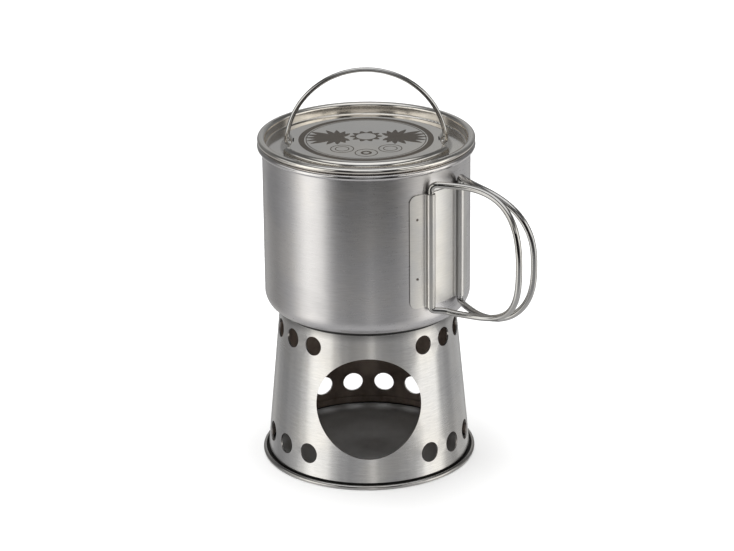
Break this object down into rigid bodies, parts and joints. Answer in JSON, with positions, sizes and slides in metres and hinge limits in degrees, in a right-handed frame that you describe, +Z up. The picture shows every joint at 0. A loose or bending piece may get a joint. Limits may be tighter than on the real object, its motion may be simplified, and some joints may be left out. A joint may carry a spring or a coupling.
{
  "type": "wood-burning camping pot stove with mug",
  "caption": "Conical perforated wood stove on a shallow tray, carrying a lidded steel mug with folding wire handles and a wire bail.",
  "frame": {"origin": "on the vertical axis of the stove, on the ground plane under the base tray", "axes": "+Z up along the stove's axis, -Y out through the feed opening, +X to the side the handle bracket leans towards"},
  "size_m": [0.1288, 0.12, 0.1929],
  "materials": {
    "tray_steel": "satin, spun",
    "shell_steel": "brushed round the cone",
    "mug_steel": "brushed round the wall",
    "bracket_steel": "satin, pressed",
    "wire_steel": "polished wire",
    "lid_steel": "satin with an etched motif"
  },
  "bodies": {
    "base": {"base_tray": "tray_steel"},
    "stove": {"stove_shell": "shell_steel"},
    "mug": {"mug_body": "mug_steel", "handle_bracket": "bracket_steel"},
    "handle_left": {"handle_loop_left": "wire_steel"},
    "handle_right": {"handle_loop_right": "wire_steel"},
    "lid": {"lid_cover": "lid_steel"},
    "bail": {"lid_bail": "wire_steel"}
  },
  "joints": [
    {"name": "stove_lift", "type": "slide", "parent": "base", "child": "stove", "axis": [0, 0, 1], "range_m": [0, 0.03]},
    {"name": "mug_lift", "type": "slide", "parent": "stove", "child": "mug", "axis": [0, 0, 1], "range_m": [0, 0.06]},
    {"name": "lid_lift", "type": "slide", "parent": "mug", "child": "lid", "axis": [0, 0, 1], "range_m": [0, 0.05]},
    {"name": "bail_hinge", "type": "hinge", "parent": "lid", "child": "bail", "pos_m": [0, 0, 0.15605], "axis": [1, 0, 0], "range_deg": [-60, 60]},
    {"name": "handle_left_hinge", "type": "hinge", "parent": "mug", "child": "handle_left", "pos_m": [0.02928, -0.04151, 0.118], "axis": [0, 0, -1], "range_deg": [0, 138]},
    {"name": "handle_right_hinge", "type": "hinge", "parent": "mug", "child": "handle_right", "pos_m": [0.04313, -0.02685, 0.118], "axis": [0, 0, 1], "range_deg": [0, 130]}
  ]
}
